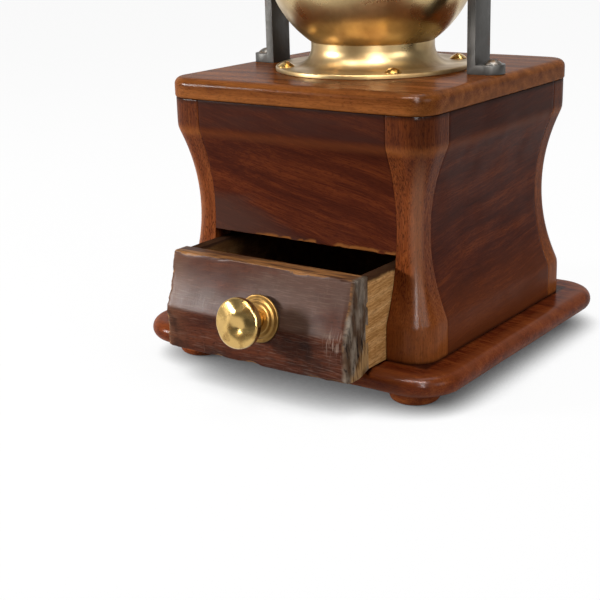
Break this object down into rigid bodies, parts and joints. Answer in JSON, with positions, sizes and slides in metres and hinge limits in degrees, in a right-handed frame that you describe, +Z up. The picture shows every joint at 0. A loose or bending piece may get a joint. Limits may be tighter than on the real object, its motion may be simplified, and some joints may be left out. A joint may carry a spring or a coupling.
{
  "type": "hand crank coffee grinder",
  "caption": "Wooden box coffee mill with a waisted body, a drawer, an open brass hopper bowl under an iron bridge, a crank and a turned handle.",
  "frame": {"origin": "on the table, at the middle of the whole mill's outline from above with the drawer partly open and the crank at rest, which is the middle of the box", "axes": "+Z up, the drawer opens towards -Y, +X to the right as seen from the drawer's side"},
  "size_m": [0.146, 0.204, 0.22],
  "materials": {
    "base_wood": "oiled hardwood, dark red-brown",
    "foot_wood": "turned hardwood, dark",
    "post_wood": "polished hardwood, orange-brown",
    "panel_wood": "polished hardwood, dark red-brown",
    "top_wood": "polished hardwood, golden brown",
    "drawer_front_wood": "worn hardwood",
    "drawer_box_wood": "bare sawn softwood",
    "handle_wood": "turned and polished hardwood",
    "brass": "polished, worn brass",
    "bowl_brass": "spun and polished brass",
    "bronze": "turned bronze",
    "black_iron": "black varnished wrought iron",
    "cast_iron": "bare grey cast iron",
    "steel": "turned and ground steel"
  },
  "bodies": {
    "case": {"base_plate": "base_wood", "foot_front_left": "foot_wood", "foot_front_right": "foot_wood", "foot_back_left": "foot_wood", "foot_back_right": "foot_wood", "foot_screws": "steel", "base_screws": "steel", "post_front_left": "post_wood", "post_front_right": "post_wood", "post_back_left": "post_wood", "post_back_right": "post_wood", "front_panel": "panel_wood", "left_panel": "panel_wood", "right_panel": "panel_wood", "back_panel": "panel_wood", "top_board": "top_wood", "hopper_bowl": "bowl_brass", "hopper_screws": "brass", "bridge": "black_iron", "bridge_screws": "steel", "top_bearing": "bronze", "mill_housing": "cast_iron", "housing_screws": "steel", "burr_ring": "steel", "lower_yoke": "black_iron", "yoke_screws": "steel", "friction_spring": "steel"},
    "drawer": {"drawer_front": "drawer_front_wood", "drawer_left_side": "drawer_box_wood", "drawer_right_side": "drawer_box_wood", "drawer_back": "drawer_box_wood", "drawer_bottom": "drawer_box_wood", "drawer_brads": "steel", "knob_rosette": "brass", "drawer_knob": "brass", "knob_screw": "steel"},
    "thrust": {"thrust_ball": "steel"},
    "adjuster": {"adjusting_screw": "brass"},
    "crank": {"spindle": "steel", "burr_cone": "steel", "burr_pin": "steel", "crank_arm": "black_iron", "crank_washer": "bronze", "crank_nut": "brass", "handle_pin": "steel"},
    "handle": {"handle_knob": "handle_wood", "handle_ferrule": "brass"}
  },
  "joints": [
    {"name": "drawer_slide", "type": "slide", "parent": "case", "child": "drawer", "axis": [0, -1, 0], "range_m": [-0.026, 0.045]},
    {"name": "adjust_lift", "type": "slide", "parent": "case", "child": "thrust", "axis": [0, 0, 1], "range_m": [0, 0.0015], "deforming": ["friction_spring"]},
    {"name": "adjust_turn", "type": "hinge", "parent": "thrust", "child": "adjuster", "pos_m": [0, 0, 0.0701], "axis": [0, 0, 1], "range_deg": [0, 772]},
    {"name": "crank_turn", "type": "hinge", "parent": "thrust", "child": "crank", "pos_m": [0, 0, 0.0701], "axis": [0, 0, 1], "continuous": true},
    {"name": "handle_spin", "type": "hinge", "parent": "crank", "child": "handle", "pos_m": [-0.0508, 0.08799, 0.1825], "axis": [0, 0, 1], "continuous": true}
  ],
  "couplings": [
    {"joint": "adjust_turn", "follows": "adjust_lift", "rad_per_m": 8976}
  ]
}
